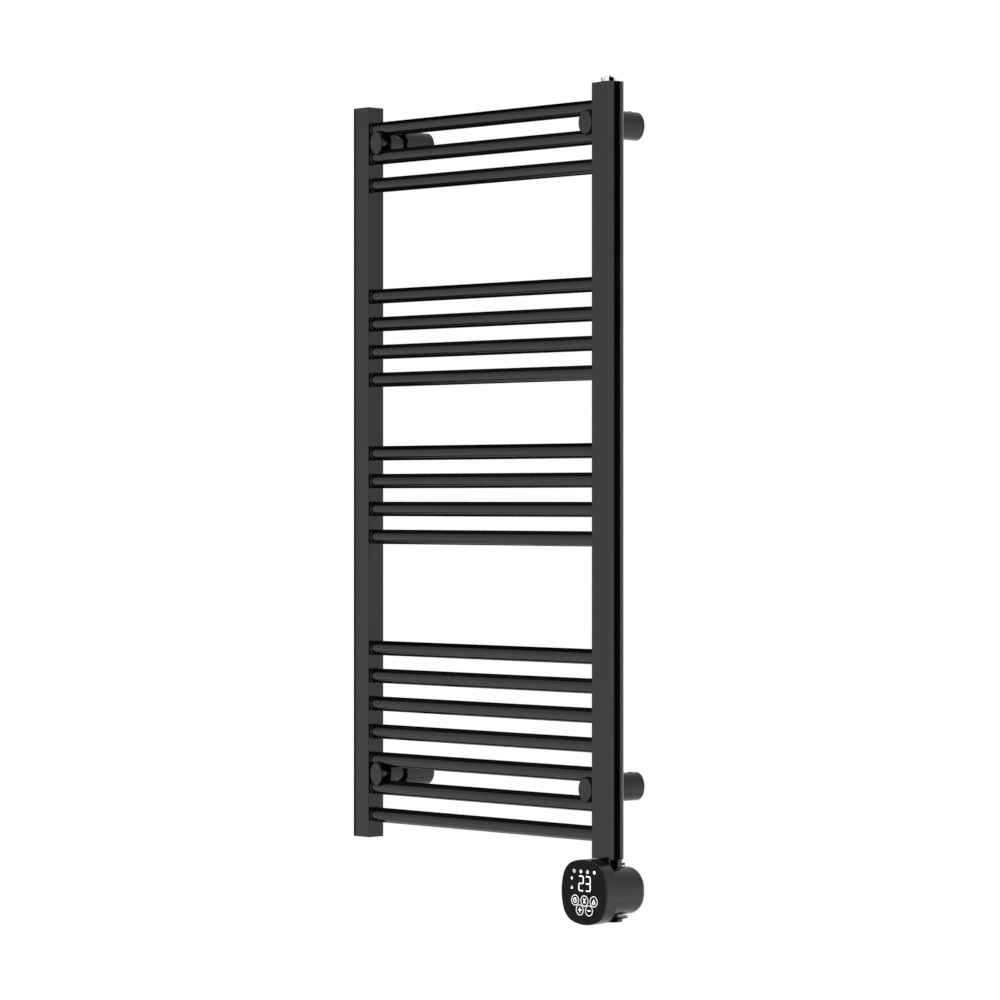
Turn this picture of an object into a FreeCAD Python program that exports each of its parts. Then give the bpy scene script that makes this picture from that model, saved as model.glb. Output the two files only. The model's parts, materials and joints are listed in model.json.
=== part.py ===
import FreeCAD, Part
import math
import os

V = FreeCAD.Vector
AX = V(1, 0, 0)
AY = V(0, 1, 0)
AZ = V(0, 0, 1)

# Electric towel rail, millimetres. +X runs along the bars, +Y points to the wall, +Z is up.
# The origin is on the wall plane, in the middle of the four wall fixings.

# Rail frame
post_gap = 480.0            # between the two flat inner faces of the posts
post_width = 43.0           # D section, along X
post_depth = 30.0           # D section, along Y
post_wall = 1.8
post_flat = 1.0             # flat strip between the two large outer corners
post_inner_radius = 0.8
bar_radius = 11.0
bar_wall = 1.2
bar_pitch = 42.0
bar_groups = (3, 4, 4, 7)   # bars in each group, from the top down
group_gaps = (168.0, 111.0, 168.0)
end_margin = 33.7           # post end to the nearest bar axis
flow_land = 1.8             # inside of a bar to the edge of its hole in the post
plate_thickness = 4.0
wall_offset = 90.0          # wall plane to the bar axes
fitting_axis = 20.0         # inner face of the right post to the vent and the element

# Clearances
thread_clearance = 0.05
running_clearance = 0.05
seat_clearance = 0.05
tip_clearance = 0.3         # under screw tips and round screw heads
cut_margin = 1.0            # how far a cutting shape runs past the face that it opens

# Wall brackets
bracket_inset = 15.0        # bracket axis to the inner face of its post
cap_width = 27.0
cap_height = 35.0
cap_proud = 3.6             # cap face in front of the bars
cap_edge = 2.4
cap_thickness = 6.0
neck_clearance = 2.7        # neck to the bars above and below it
clamp_plane = 6.5           # behind the bar axes, where the neck meets the saddle
saddle_radius = 12.5
saddle_height = 38.0
saddle_head_depth = 13.0
saddle_depth = 25.5
saddle_edge = 1.5
stem_radius = 10.0
stem_gap = 3.6              # saddle shoulder to sleeve
stem_room = 10.4            # stem end to the boss of the wall plate
sleeve_width = 34.0
sleeve_height = 41.0
sleeve_edge = 0.6
clamp_bolt_radius = 2.5
clamp_bolt_head_radius = 4.25
clamp_bolt_head = 5.0
clamp_bolt_engagement = 10.0
clamp_socket_radius = 2.0
clamp_socket_depth = 2.5
boss_radius = 11.0
boss_length = 20.0
plate_flange = 3.0
plate_flange_inset = 2.2    # sleeve outline to wall plate outline
wall_hole_radius = 2.8
wall_head_radius = 6.0
wall_floor = 5.0
grub_radius = 2.5
grub_socket = 2.5           # across flats, and as deep
base_grub_from_wall = 13.5
stem_grub_from_front = 9.0
base_grub_proud = 0.5
stem_grub_inset = 1.0

# Air vent, on top of the right post
vent_thread_radius = 8.3
vent_thread_length = 10.0
vent_seal_thickness = 1.2
seal_inset = 0.6            # edge of the vent head to the edge of its seal
vent_head_radius = 10.85
vent_head_flats = 20.96     # the corners are turned down to the head radius
vent_head_height = 5.0
vent_boss_radius = 6.5
vent_boss_height = 1.2
bleed_radius = 2.4
bleed_head_radius = 3.6
bleed_head_height = 1.6
bleed_length = 14.0
bleed_gap = 0.1
bleed_slot_width = 1.0
bleed_slot_depth = 1.0

# Heating element, in the right post
fitting_thread_radius = 10.4
fitting_thread_length = 12.0
gasket_thickness = 1.5
gasket_inset = 0.4
flange_radius = 14.6
flange_thickness = 4.0
spigot_radius = 13.0
spigot_length = 28.0
groove_depth = 1.0
groove_height = 3.2
groove_from_flange = 0.6
sheath_radius = 5.0
sheath_wall = 0.8
sheath_length = 420.0
sheath_tail = 8.0           # below the post end, inside the fitting
core_end_gap = 4.0

# Control head, below the right post
head_half = 46.25           # half width of the front frame
head_side_radius = 75.0     # the four bowed sides
head_corner_radius = 29.0
front_reach = 49.5          # post axis to the front of the head
frame_depth = 20.5
frame_wall = 2.4
frame_back = 2.4
frame_edge = 0.8
bezel = 1.1
glass_thickness = 2.0
glass_clearance = 0.1
glass_recess = 0.2
ledge = 1.6                 # rim that the glass rests on
ledge_thickness = 1.4
rear_side_inset = 0.15      # side of the front frame to the side of the rear housing
rear_half_height = 33.5
rear_side_flat = 3.5        # half height of the flat in the rear housing's side
rear_depth = 59.5
rear_edge = 10.0
rear_wall = 2.2
collar_radius = 18.9
collar_height = 11.3        # top of the rear housing to the post end
collar_gap = 0.4            # post end to the collar
collar_neck_radius = 16.0
collar_neck_length = 9.0
collar_counterbore = 0.6    # round the flange
lock_screw_radius = 1.5
lock_screw_head_radius = 2.1
lock_screw_reach = 22.6
lock_screw_head = 1.6
lock_screw_angle = 45.0

# Cable outlet, below the head
outlet_neck_radius = 10.0
outlet_gap = 3.0
outlet_shoulder_radius = 13.0
outlet_flange_radius = 27.0
outlet_flange = 2.4
outlet_boss_radius = 19.5
outlet_boss = 5.2
outlet_bore_radius = 4.2
outlet_inside = 9.0
nut_flats = 26.0
nut_height = 4.5
nut_seat_margin = 1.1       # flat round the nut, under the housing's rounded corners

# Electronics
board_thickness = 1.6
board_corner = 6.0
display_board_margin = (13.25, 15.25)   # side and top of the front frame to the display board
display_board_back = 7.6    # front of the glass to the front of the display board
display_block = (30.0, 25.0)
display_centre = (0.6, 12.4)
key_radius = 3.0
key_wire = 0.6
key_places = ((-18.3, -12.0), (0.4, -12.0), (19.1, -12.0), (-8.9, -25.3), (9.7, -25.3))
power_board_margin = (15.1, 10.5)       # side and top of the rear housing to the power board
power_board_standoff = 6.0  # inner back wall to the board
boss_post_radius = 3.2
boss_inset = 5.0
housing_screw_radius = 1.4
housing_screw_head_radius = 2.6
housing_screw_head = 1.8
housing_screw_length = 6.0
relay_size = (16.0, 17.0, 19.0)
relay_x = -14.0
terminal_size = (16.0, 13.0, 20.0)
terminal_x = 14.5
terminal_hole_radius = 2.0
terminal_hole_depth = 5.0
terminal_pitch = 6.0
sensor_radius = 2.5
sensor_length = 9.0
sensor_above_edge = 5.5     # lower edge of the power board to the room sensor

# Derived places
bars_total = sum(bar_groups)
stack_height = bar_pitch * (bars_total - len(bar_groups)) + sum(group_gaps)
post_height = stack_height + 2 * end_margin
bar_y = -wall_offset
post_x = post_gap / 2
post_outer_radius = (post_depth - post_flat) / 2
flow_hole_radius = bar_radius - bar_wall - flow_land
axis_x = post_x + fitting_axis
neck_radius = bar_pitch / 2 - bar_radius - neck_clearance
bracket_x = post_x - bracket_inset


def bar_heights():
    """Bar axis heights above the post ends, from the top bar down."""
    heights = []
    z = post_height - end_margin
    for group, count in enumerate(bar_groups):
        for index in range(count):
            heights.append(z)
            if index < count - 1:
                z -= bar_pitch
        if group < len(group_gaps):
            z -= group_gaps[group]
    return heights


heights = bar_heights()
top_fixing = (heights[0] + heights[1]) / 2
low_fixing = (heights[-2] + heights[-3]) / 2
post_bottom = -(top_fixing + low_fixing) / 2
post_top = post_bottom + post_height
bar_z = [post_bottom + z for z in heights]
fixing_z = {"top": post_bottom + top_fixing, "bottom": post_bottom + low_fixing}
bracket_places = {
    "top_left": (-bracket_x, fixing_z["top"]),
    "top_right": (bracket_x, fixing_z["top"]),
    "bottom_left": (-bracket_x, fixing_z["bottom"]),
    "bottom_right": (bracket_x, fixing_z["bottom"]),
}
rear_half_width = head_half - rear_side_inset
nut_corner_radius = nut_flats / 2 / math.cos(math.pi / 6)
rear_corner_radius = min(rear_half_width - nut_corner_radius - nut_seat_margin,
                         rear_half_height - rear_side_flat)
head_z = post_bottom - collar_height - rear_half_height
head_front = bar_y - front_reach
frame_rear = head_front + frame_depth
rear_face = frame_rear + rear_depth
glass_front = head_front + glass_recess
glass_rear = glass_front + glass_thickness
board_front = glass_front + display_board_back
power_front = rear_face - rear_wall - power_board_standoff - board_thickness
cap_front = bar_y - bar_radius - cap_proud
neck_end = bar_y + clamp_plane
saddle_rear = neck_end + saddle_depth
sleeve_front = saddle_rear + stem_gap
sleeve_length = -sleeve_front
stem_end = -boss_length - stem_room
display_board_size = (2 * (head_half - display_board_margin[0]), 2 * (head_half - display_board_margin[1]))
power_board_size = (2 * (rear_half_width - power_board_margin[0]),
                    2 * (rear_half_height - power_board_margin[1]))


# Shape helpers

def cylinder(radius, start, axis, length):
    return Part.makeCylinder(radius, length, start, axis)


def ring(outer, inner, start, axis, length):
    return cylinder(outer, start, axis, length).cut(cylinder(inner, start, axis, length))


def box(x0, x1, y0, y1, z0, z1):
    return Part.makeBox(x1 - x0, y1 - y0, z1 - z0, V(x0, y0, z0))


def arc(first, middle, last):
    return Part.Arc(first, middle, last).toShape()


def d_section(width, depth, outer_radius, inner_radius):
    """Face in XY: flat side on x = 0, rounded corners on the +X side, centred on y = 0."""
    h = depth / 2
    big = outer_radius
    small = inner_radius
    q = math.sqrt(0.5)
    edges = [
        Part.makeLine(V(small, -h, 0), V(width - big, -h, 0)),
        arc(V(width - big, -h, 0),
            V(width - big + big * q, -h + big - big * q, 0),
            V(width, -h + big, 0)),
        Part.makeLine(V(width, -h + big, 0), V(width, h - big, 0)),
        arc(V(width, h - big, 0),
            V(width - big + big * q, h - big + big * q, 0),
            V(width - big, h, 0)),
        Part.makeLine(V(width - big, h, 0), V(small, h, 0)),
        arc(V(small, h, 0), V(small - small * q, h - small + small * q, 0), V(0, h - small, 0)),
        Part.makeLine(V(0, h - small, 0), V(0, -h + small, 0)),
        arc(V(0, -h + small, 0), V(small - small * q, -h + small - small * q, 0), V(small, -h, 0)),
    ]
    return Part.Face(Part.Wire(edges))


def place_section(face, side, inset, z0, height):
    """Prism of a D section, set on its post: side is +1 on the right, -1 on the left."""
    solid = face.extrude(V(0, 0, height))
    solid.translate(V(post_x + inset, bar_y, z0))
    if side < 0:
        solid = solid.mirror(V(0, 0, 0), AX)
    return solid


def ellipse_prism(x, z, width, height, y0, y1):
    """Prism along Y with an upright elliptical section."""
    curve = Part.Ellipse(V(x, y0, z + height / 2), V(x + width / 2, y0, z), V(x, y0, z))
    face = Part.Face(Part.Wire([curve.toShape()]))
    return face.extrude(V(0, y1 - y0, 0))


def bowed_square(half, side_radius, corner_radius, y):
    """Face in XZ at y: four shallow side arcs and four corner arcs, all tangent."""
    reach = side_radius - half
    span = side_radius - corner_radius
    c = (-reach + math.sqrt(2 * span * span - reach * reach)) / 2
    scale = side_radius / span
    tangent = (-reach + (c + reach) * scale, c * scale)
    diagonal = c + corner_radius * math.sqrt(0.5)
    edges = []
    for turn in range(4):
        a = turn * math.pi / 2

        def point(u, w):
            x = u * math.cos(a) - w * math.sin(a)
            z = u * math.sin(a) + w * math.cos(a)
            return V(axis_x + x, y, head_z + z)

        edges.append(arc(point(tangent[0], -tangent[1]), point(half, 0), point(*tangent)))
        edges.append(arc(point(*tangent), point(diagonal, diagonal), point(tangent[1], tangent[0])))
    return Part.Face(Part.Wire(edges))


def bowed_prism(inset, y0, y1):
    face = bowed_square(head_half - inset, head_side_radius - inset, head_corner_radius - inset, y0)
    return face.extrude(V(0, y1 - y0, 0))


def rear_prism(inset, y0, y1):
    """Prism of the lower rear body of the head: a rounded rectangle in XZ."""
    w = rear_half_width - inset
    h = rear_half_height - inset
    r = rear_corner_radius - inset
    solid = box(axis_x - w, axis_x + w, y0, y1, head_z - h, head_z + h)
    corners = [e for e in solid.Edges if abs(e.tangentAt(e.FirstParameter).dot(AY)) > 0.9]
    return solid.makeFillet(r, corners)


def rim_edges(solid, y):
    """Edges that lie wholly in the plane at y."""
    return [e for e in solid.Edges if abs(e.BoundBox.YMin - y) < 1e-6 and abs(e.BoundBox.YMax - y) < 1e-6]


def hexagon_prism(x, y, z, flats, height):
    radius = flats / 2 / math.cos(math.pi / 6)
    points = [V(x + radius * math.cos(i * math.pi / 3), y + radius * math.sin(i * math.pi / 3), z)
              for i in range(7)]
    return Part.Face(Part.makePolygon(points)).extrude(V(0, 0, height))


# Rail frame

def post(side):
    outer = d_section(post_width, post_depth, post_outer_radius, post_inner_radius)
    inner = d_section(post_width - 2 * post_wall, post_depth - 2 * post_wall,
                      post_outer_radius - post_wall, post_inner_radius)
    tube = place_section(outer, side, 0, post_bottom, post_height)
    tube = tube.cut(place_section(inner, side, post_wall, post_bottom, post_height))
    for z in bar_z:
        start = V(side * (post_x - cut_margin), bar_y, z)
        tube = tube.cut(cylinder(flow_hole_radius, start, AX * side, post_wall + 2 * cut_margin))
    return tube


def bar(z):
    return ring(bar_radius, bar_radius - bar_wall, V(-post_x, bar_y, z), AX, post_gap)


def end_plate(side, z0, hole_radius=0.0):
    """Plug plate welded flush inside one end of a post."""
    inner = d_section(post_width - 2 * post_wall, post_depth - 2 * post_wall,
                      post_outer_radius - post_wall, post_inner_radius)
    plate = place_section(inner, side, post_wall, z0, plate_thickness)
    if hole_radius > 0:
        plate = plate.cut(cylinder(hole_radius, V(side * axis_x, bar_y, z0), AZ, plate_thickness))
    return plate


def frame_parts():
    nodes = {"post_left": post(-1), "post_right": post(1)}
    for index, z in enumerate(bar_z):
        nodes["bar_%02d" % (index + 1)] = bar(z)
    plate_top = post_top - plate_thickness
    nodes["left_end_plates"] = Part.makeCompound([end_plate(-1, plate_top), end_plate(-1, post_bottom)])
    nodes["right_top_plate"] = end_plate(1, plate_top, vent_thread_radius + thread_clearance)
    nodes["right_bottom_plate"] = end_plate(1, post_bottom, fitting_thread_radius + thread_clearance)
    return nodes


# Wall brackets

def clamp_cap(x, z):
    """Oval cap with a round neck that passes between two bars."""
    cap = ellipse_prism(x, z, cap_width, cap_height, cap_front, cap_front + cap_thickness)
    cap = cap.makeFillet(cap_edge, rim_edges(cap, cap_front))
    for offset in (-bar_pitch / 2, bar_pitch / 2):
        seat = cylinder(bar_radius + seat_clearance, V(x - cap_width, bar_y, z + offset), AX, 2 * cap_width)
        cap = cap.cut(seat)
    neck_start = cap_front + cap_thickness / 2
    neck = cylinder(neck_radius, V(x, neck_start, z), AY, neck_end - neck_start)
    cap = cap.fuse(neck).removeSplitter()
    hole = cylinder(clamp_bolt_radius + thread_clearance, V(x, neck_end, z), -AY,
                    clamp_bolt_engagement + tip_clearance)
    return cap.cut(hole)


def saddle(x, z):
    """Round saddle behind two bars, with its stem towards the wall."""
    body = cylinder(saddle_radius, V(x, neck_end, z), AY, saddle_depth)
    body = body.makeFillet(saddle_edge, rim_edges(body, saddle_rear))
    head = ellipse_prism(x, z, 2 * saddle_radius, saddle_height, neck_end, neck_end + saddle_head_depth)
    body = body.fuse(head)
    for offset in (-bar_pitch / 2, bar_pitch / 2):
        seat = cylinder(bar_radius + seat_clearance, V(x - 2 * saddle_radius, bar_y, z + offset), AX,
                        4 * saddle_radius)
        body = body.cut(seat)
    stem_start = saddle_rear - saddle_edge
    stem = cylinder(stem_radius, V(x, stem_start, z), AY, stem_end - stem_start)
    body = body.fuse(stem).removeSplitter()
    body = body.cut(cylinder(clamp_bolt_radius + thread_clearance, V(x, neck_end - cut_margin, z), AY,
                             stem_end - neck_end + 2 * cut_margin))
    head_seat = saddle_rear - clamp_bolt_head
    body = body.cut(cylinder(clamp_bolt_head_radius + tip_clearance, V(x, head_seat, z), AY,
                             stem_end - head_seat + cut_margin))
    return body


def clamp_bolt(x, z):
    """Socket-head bolt from the stem into the neck of the cap."""
    head_seat = saddle_rear - clamp_bolt_head
    tip = neck_end - clamp_bolt_engagement
    head = cylinder(clamp_bolt_head_radius, V(x, head_seat, z), AY, clamp_bolt_head)
    socket = cylinder(clamp_socket_radius, V(x, saddle_rear, z), -AY, clamp_socket_depth)
    shank = cylinder(clamp_bolt_radius, V(x, tip, z), AY, head_seat - tip)
    return head.fuse(shank).cut(socket)


def wall_sleeve(x, z):
    """Oval sleeve: its front bore takes the stem, its rear bore the boss of the wall plate."""
    body = ellipse_prism(x, z, sleeve_width, sleeve_height, sleeve_front, 0)
    body = body.makeChamfer(sleeve_edge, rim_edges(body, sleeve_front))
    body = body.cut(cylinder(stem_radius + running_clearance, V(x, sleeve_front - cut_margin, z), AY,
                             sleeve_length + cut_margin))
    body = body.cut(cylinder(boss_radius + seat_clearance, V(x, -boss_length - cut_margin, z), AY,
                             boss_length + cut_margin))
    inset = 2 * (plate_flange_inset - seat_clearance)
    recess = ellipse_prism(x, z, sleeve_width - inset, sleeve_height - inset, -plate_flange, 0)
    body = body.cut(recess)
    base_hole = cylinder(grub_radius + thread_clearance, V(x, -base_grub_from_wall, z), AZ, sleeve_height)
    stem_hole = cylinder(grub_radius + thread_clearance, V(x, sleeve_front + stem_grub_from_front, z), -AZ,
                         sleeve_height)
    return body.cut(base_hole).cut(stem_hole)


def wall_plate(x, z):
    """Fixing plate with a boss and one countersunk way through for a wall screw."""
    inset = 2 * plate_flange_inset
    body = ellipse_prism(x, z, sleeve_width - inset, sleeve_height - inset, -plate_flange, 0)
    body = body.fuse(cylinder(boss_radius, V(x, -boss_length, z), AY, boss_length)).removeSplitter()
    front = V(x, -boss_length - cut_margin, z)
    body = body.cut(cylinder(wall_hole_radius, front, AY, boss_length + 2 * cut_margin))
    return body.cut(cylinder(wall_head_radius, front, AY, boss_length + cut_margin - wall_floor))


def grub_pair(x, z):
    """Upper grub screw on the boss, lower one on the stem, each with a hexagon socket."""
    top = z + sleeve_height / 2 + base_grub_proud
    base_tip = z + boss_radius
    base = cylinder(grub_radius, V(x, -base_grub_from_wall, base_tip), AZ, top - base_tip)
    base = base.cut(hexagon_prism(x, -base_grub_from_wall, top - grub_socket, grub_socket, grub_socket))
    y = sleeve_front + stem_grub_from_front
    stem_tip = z - stem_radius
    bottom = z - sleeve_height / 2 + stem_grub_inset
    lower = cylinder(grub_radius, V(x, y, bottom), AZ, stem_tip - bottom)
    lower = lower.cut(hexagon_prism(x, y, bottom, grub_socket, grub_socket))
    return [base, lower]


def bracket_parts():
    nodes = {}
    for name, (x, z) in bracket_places.items():
        nodes["clamp_cap_" + name] = clamp_cap(x, z)
        nodes["saddle_" + name] = saddle(x, z)
        nodes["wall_sleeve_" + name] = wall_sleeve(x, z)
    places = bracket_places.values()
    nodes["wall_plates"] = Part.makeCompound([wall_plate(x, z) for x, z in places])
    nodes["clamp_bolts"] = Part.makeCompound([clamp_bolt(x, z) for x, z in places])
    nodes["grub_screws"] = Part.makeCompound([screw for x, z in places for screw in grub_pair(x, z)])
    return nodes


# Air vent

def vent_parts():
    seat = post_top + vent_seal_thickness
    top = seat + vent_head_height + vent_boss_height
    body = cylinder(vent_thread_radius, V(axis_x, bar_y, post_top - vent_thread_length), AZ,
                    seat - post_top + vent_thread_length)
    head = hexagon_prism(axis_x, bar_y, seat, vent_head_flats, vent_head_height)
    head = head.common(cylinder(vent_head_radius, V(axis_x, bar_y, seat), AZ, vent_head_height))
    body = body.fuse(head)
    body = body.fuse(cylinder(vent_boss_radius, V(axis_x, bar_y, seat), AZ, top - seat)).removeSplitter()
    body = body.cut(cylinder(bleed_radius + running_clearance, V(axis_x, bar_y, top), -AZ, 2 * bleed_length))
    seal = ring(vent_head_radius - seal_inset, vent_thread_radius + thread_clearance,
                V(axis_x, bar_y, post_top), AZ, vent_seal_thickness)
    screw = cylinder(bleed_radius, V(axis_x, bar_y, top + bleed_gap - bleed_length), AZ, bleed_length)
    screw = screw.fuse(cylinder(bleed_head_radius, V(axis_x, bar_y, top + bleed_gap), AZ, bleed_head_height))
    half_slot = bleed_slot_width / 2
    slot_top = top + bleed_gap + bleed_head_height
    slot = box(axis_x - bleed_head_radius, axis_x + bleed_head_radius, bar_y - half_slot, bar_y + half_slot,
               slot_top - bleed_slot_depth, slot_top)
    return {"vent_body": body, "vent_seal": seal, "vent_screw": screw.removeSplitter().cut(slot)}


# Heating element

def element_parts():
    flange_top = post_bottom - gasket_thickness
    spigot_top = flange_top - flange_thickness
    thread_top = post_bottom + fitting_thread_length
    fitting = cylinder(fitting_thread_radius, V(axis_x, bar_y, flange_top), AZ, thread_top - flange_top)
    fitting = fitting.fuse(cylinder(flange_radius, V(axis_x, bar_y, spigot_top), AZ, flange_thickness))
    fitting = fitting.fuse(cylinder(spigot_radius, V(axis_x, bar_y, spigot_top - spigot_length), AZ,
                                    spigot_length)).removeSplitter()
    groove_top = spigot_top - groove_from_flange
    fitting = fitting.cut(ring(spigot_radius + cut_margin, spigot_radius - groove_depth,
                               V(axis_x, bar_y, groove_top - groove_height), AZ, groove_height))
    wire_way = cylinder(sheath_radius + thread_clearance, V(axis_x, bar_y, spigot_top - spigot_length), AZ,
                        thread_top - spigot_top + spigot_length)
    fitting = fitting.cut(wire_way)
    gasket = ring(flange_radius - gasket_inset, fitting_thread_radius + thread_clearance,
                  V(axis_x, bar_y, flange_top), AZ, gasket_thickness)
    start = post_bottom - sheath_tail
    core_length = sheath_length - sheath_radius
    core_radius = sheath_radius - sheath_wall
    sheath = cylinder(sheath_radius, V(axis_x, bar_y, start), AZ, core_length)
    sheath = sheath.fuse(Part.makeSphere(sheath_radius, V(axis_x, bar_y, start + core_length)))
    sheath = sheath.removeSplitter()
    sheath = sheath.cut(cylinder(core_radius, V(axis_x, bar_y, start), AZ, core_length))
    core = cylinder(core_radius, V(axis_x, bar_y, start), AZ, core_length - core_end_gap)
    return {"element_fitting": fitting, "element_gasket": gasket, "element_sheath": sheath,
            "element_core": core}


# Control head

def head_shell_parts():
    frame = bowed_prism(0, head_front, frame_rear)
    frame = frame.makeFillet(frame_edge, rim_edges(frame, head_front))
    recess_floor = glass_rear + glass_clearance
    ledge_rear = recess_floor + ledge_thickness
    frame = frame.cut(bowed_prism(bezel, head_front - cut_margin, recess_floor))
    frame = frame.cut(bowed_prism(bezel + ledge, recess_floor - cut_margin, ledge_rear + cut_margin))
    frame = frame.cut(bowed_prism(frame_wall, ledge_rear, frame_rear - frame_back))
    frame = frame.cut(rear_prism(rear_wall, frame_rear - frame_back - cut_margin, frame_rear + cut_margin))
    glass = bowed_prism(bezel + glass_clearance, glass_front, glass_rear)
    rear = rear_prism(0, frame_rear, rear_face)
    rear = rear.makeFillet(rear_edge, rim_edges(rear, rear_face))
    hollow = rear_prism(rear_wall, frame_rear - cut_margin, rear_face - rear_wall)
    hollow = hollow.makeFillet(rear_edge - rear_wall, rim_edges(hollow, rear_face - rear_wall))
    rear = rear.cut(hollow)
    hole_length = rear_wall + 2 * cut_margin
    top = V(axis_x, bar_y, head_z + rear_half_height + cut_margin)
    rear = rear.cut(cylinder(collar_neck_radius + seat_clearance, top, -AZ, hole_length))
    low = V(axis_x, bar_y, head_z - rear_half_height - cut_margin)
    rear = rear.cut(cylinder(outlet_neck_radius + seat_clearance, low, AZ, hole_length))
    boss_length = power_board_standoff + rear_wall / 2
    for x, z in board_bosses():
        start = V(x, power_front + board_thickness, z)
        rear = rear.fuse(cylinder(boss_post_radius, start, AY, boss_length))
    rear = rear.removeSplitter()
    for x, z in board_bosses():
        start = V(x, power_front, z)
        rear = rear.cut(cylinder(housing_screw_radius + thread_clearance, start, AY,
                                 housing_screw_length + tip_clearance))
    return {"front_frame": frame, "touch_panel": glass, "rear_housing": rear}


def board_bosses():
    """Screw places of the power board, in XZ."""
    w = power_board_size[0] / 2 - boss_inset
    h = power_board_size[1] / 2 - boss_inset
    return [(axis_x + sx * w, head_z + sz * h) for sx in (-1, 1) for sz in (-1, 1)]


def board(size, y0, centre_z):
    w, h = size
    plate = box(axis_x - w / 2, axis_x + w / 2, y0, y0 + board_thickness, centre_z - h / 2, centre_z + h / 2)
    corners = [e for e in plate.Edges if abs(e.tangentAt(e.FirstParameter).dot(AY)) > 0.9]
    return plate.makeFillet(board_corner, corners)


def block(offset_x, size):
    """Box on the front of the power board, at mid height: size is X, depth, Z."""
    x = axis_x + offset_x
    w, d, h = size
    return box(x - w / 2, x + w / 2, power_front - d, power_front, head_z - h / 2, head_z + h / 2)


def electronics_parts():
    nodes = {"display_board": board(display_board_size, board_front, head_z)}
    x = axis_x + display_centre[0]
    z = head_z + display_centre[1]
    w, h = display_block
    nodes["display_module"] = box(x - w / 2, x + w / 2, glass_rear, board_front, z - h / 2, z + h / 2)
    springs = [ring(key_radius, key_radius - key_wire, V(axis_x + kx, glass_rear, head_z + kz), AY,
                    board_front - glass_rear) for kx, kz in key_places]
    nodes["key_springs"] = Part.makeCompound(springs)
    power = board(power_board_size, power_front, head_z)
    screws = []
    for bx, bz in board_bosses():
        start = V(bx, power_front - housing_screw_head, bz)
        hole = V(bx, power_front - cut_margin, bz)
        power = power.cut(cylinder(housing_screw_radius + thread_clearance, hole, AY,
                                   board_thickness + 2 * cut_margin))
        head = cylinder(housing_screw_head_radius, start, AY, housing_screw_head)
        shank = cylinder(housing_screw_radius, start, AY, housing_screw_head + housing_screw_length)
        screws.append(head.fuse(shank).removeSplitter())
    nodes["power_board"] = power
    nodes["board_screws"] = Part.makeCompound(screws)
    nodes["relay"] = block(relay_x, relay_size)
    terminal = block(terminal_x, terminal_size)
    terminal_front = power_front - terminal_size[1]
    for step in (-1, 0, 1):
        way = V(axis_x + terminal_x, terminal_front, head_z + step * terminal_pitch)
        terminal = terminal.cut(cylinder(terminal_hole_radius, way, AY, terminal_hole_depth))
    nodes["terminal_block"] = terminal
    sensor_z = head_z - power_board_size[1] / 2 + sensor_above_edge
    sensor = V(axis_x - sensor_length / 2, power_front - sensor_radius, sensor_z)
    nodes["room_sensor"] = cylinder(sensor_radius, sensor, AX, sensor_length)
    return nodes


def collar_parts():
    top = post_bottom - collar_gap
    low = head_z + rear_half_height
    spigot_top = post_bottom - gasket_thickness - flange_thickness
    neck_low = low - collar_neck_length
    collar = cylinder(collar_radius, V(axis_x, bar_y, low), AZ, top - low)
    collar = collar.fuse(cylinder(collar_neck_radius, V(axis_x, bar_y, neck_low), AZ, low - neck_low))
    collar = collar.removeSplitter()
    bore = cylinder(spigot_radius + running_clearance, V(axis_x, bar_y, neck_low - cut_margin), AZ,
                    top - neck_low + 2 * cut_margin)
    recess_floor = spigot_top - tip_clearance
    recess = cylinder(flange_radius + collar_counterbore, V(axis_x, bar_y, recess_floor), AZ,
                      top - recess_floor + cut_margin)
    collar = collar.cut(bore).cut(recess)
    angle = math.radians(lock_screw_angle)
    way = V(math.cos(angle), math.sin(angle), 0)
    z = spigot_top - groove_from_flange - groove_height / 2
    centre = V(axis_x, bar_y, z)
    tip = spigot_radius - groove_depth + tip_clearance
    collar = collar.cut(cylinder(lock_screw_radius + thread_clearance, centre, way, lock_screw_reach))
    screw = cylinder(lock_screw_radius, centre + way * tip, way, lock_screw_reach - tip)
    screw = screw.fuse(cylinder(lock_screw_head_radius, centre + way * (lock_screw_reach - lock_screw_head),
                                way, lock_screw_head)).removeSplitter()
    return {"swivel_collar": collar, "lock_screw": screw}


def outlet_parts():
    low = head_z - rear_half_height
    flange_top = low - outlet_gap
    flange_low = flange_top - outlet_flange
    boss_low = flange_low - outlet_boss
    inside = low + outlet_inside
    outlet = cylinder(outlet_neck_radius, V(axis_x, bar_y, flange_low), AZ, inside - flange_low)
    outlet = outlet.fuse(cylinder(outlet_flange_radius, V(axis_x, bar_y, flange_low), AZ, outlet_flange))
    outlet = outlet.fuse(cylinder(outlet_boss_radius, V(axis_x, bar_y, boss_low), AZ, outlet_boss))
    outlet = outlet.fuse(cylinder(outlet_shoulder_radius, V(axis_x, bar_y, flange_low), AZ,
                                  low - flange_low))
    outlet = outlet.removeSplitter()
    bore = cylinder(outlet_bore_radius, V(axis_x, bar_y, boss_low - cut_margin), AZ,
                    inside - boss_low + 2 * cut_margin)
    outlet = outlet.cut(bore)
    nut_low = low + rear_wall
    nut = hexagon_prism(axis_x, bar_y, nut_low, nut_flats, nut_height)
    nut = nut.cut(cylinder(outlet_neck_radius + thread_clearance, V(axis_x, bar_y, nut_low), AZ, nut_height))
    return {"cable_outlet": outlet, "outlet_nut": nut}


def main():
    os.makedirs("parts", exist_ok=True)
    nodes = {}
    for group in (frame_parts, bracket_parts, vent_parts, element_parts, head_shell_parts,
                  electronics_parts, collar_parts, outlet_parts):
        nodes.update(group())
    for name, shape in nodes.items():
        if not shape.isValid():
            raise ValueError("invalid shape: " + name)
        shape.exportStep("parts/%s.step" % name)
    print(len(nodes), "nodes")


main()
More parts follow.
